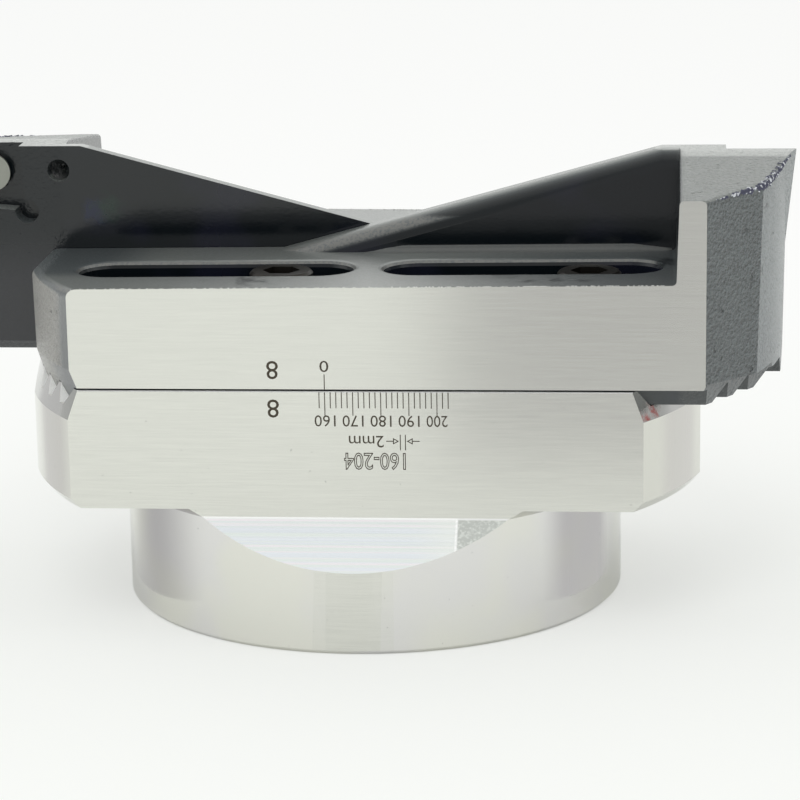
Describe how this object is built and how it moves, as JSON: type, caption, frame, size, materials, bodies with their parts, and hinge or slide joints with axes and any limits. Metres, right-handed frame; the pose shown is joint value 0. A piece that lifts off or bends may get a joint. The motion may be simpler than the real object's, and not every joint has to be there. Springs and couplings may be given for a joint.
{
  "type": "boring head",
  "caption": "Rough boring head: a disc body with a flanged boss and a serrated face that carries opposed cutter slides, each clamped by screws in slots and set by a diameter scale.",
  "frame": {"origin": "on the turning axis, at the boss's flange face", "axes": "+Z along the turning axis towards the cutting edges, +X along the front slide's outward travel"},
  "size_m": [0.1582, 0.094, 0.0842],
  "materials": {
    "ground_steel": "satin ground and turned",
    "black_oxide_steel": "black oxide on a cast skin, with ground fitting faces",
    "dark_screw_steel": "black oxide",
    "bright_screw_steel": "plain satin"
  },
  "bodies": {
    "head_body": {"head_body": "ground_steel"},
    "front_slide": {"front_slide": "black_oxide_steel"},
    "rear_slide": {"rear_slide": "black_oxide_steel"},
    "front_inner_screw": {"front_inner_screw": "dark_screw_steel"},
    "front_outer_screw": {"front_outer_screw": "dark_screw_steel"},
    "rear_inner_screw": {"rear_inner_screw": "dark_screw_steel"},
    "rear_outer_screw": {"rear_outer_screw": "dark_screw_steel"},
    "front_insert_screw": {"front_insert_screw": "bright_screw_steel"},
    "rear_insert_screw": {"rear_insert_screw": "bright_screw_steel"}
  },
  "joints": [
    {"name": "front_slide_setting", "type": "slide", "parent": "head_body", "child": "front_slide", "axis": [1, 0, 0], "range_m": [-0.001, 0.022]},
    {"name": "rear_slide_setting", "type": "slide", "parent": "head_body", "child": "rear_slide", "axis": [-1, 0, 0], "range_m": [-0.001, 0.022]},
    {"name": "front_inner_screw_turn", "type": "hinge", "parent": "head_body", "child": "front_inner_screw", "pos_m": [-0.01448, -0.02, 0.06455], "axis": [0, 0, 1], "continuous": true},
    {"name": "front_outer_screw_turn", "type": "hinge", "parent": "head_body", "child": "front_outer_screw", "pos_m": [0.04154, -0.02, 0.06455], "axis": [0, 0, 1], "continuous": true},
    {"name": "rear_inner_screw_turn", "type": "hinge", "parent": "head_body", "child": "rear_inner_screw", "pos_m": [0.01448, 0.02, 0.06455], "axis": [0, 0, 1], "continuous": true},
    {"name": "rear_outer_screw_turn", "type": "hinge", "parent": "head_body", "child": "rear_outer_screw", "pos_m": [-0.04154, 0.02, 0.06455], "axis": [0, 0, 1], "continuous": true},
    {"name": "front_insert_screw_turn", "type": "hinge", "parent": "front_slide", "child": "front_insert_screw", "pos_m": [0.07219, -0.00476, 0.07874], "axis": [0, 1, 0], "continuous": true},
    {"name": "rear_insert_screw_turn", "type": "hinge", "parent": "rear_slide", "child": "rear_insert_screw", "pos_m": [-0.07219, 0.00476, 0.07874], "axis": [0, -1, 0], "continuous": true}
  ]
}
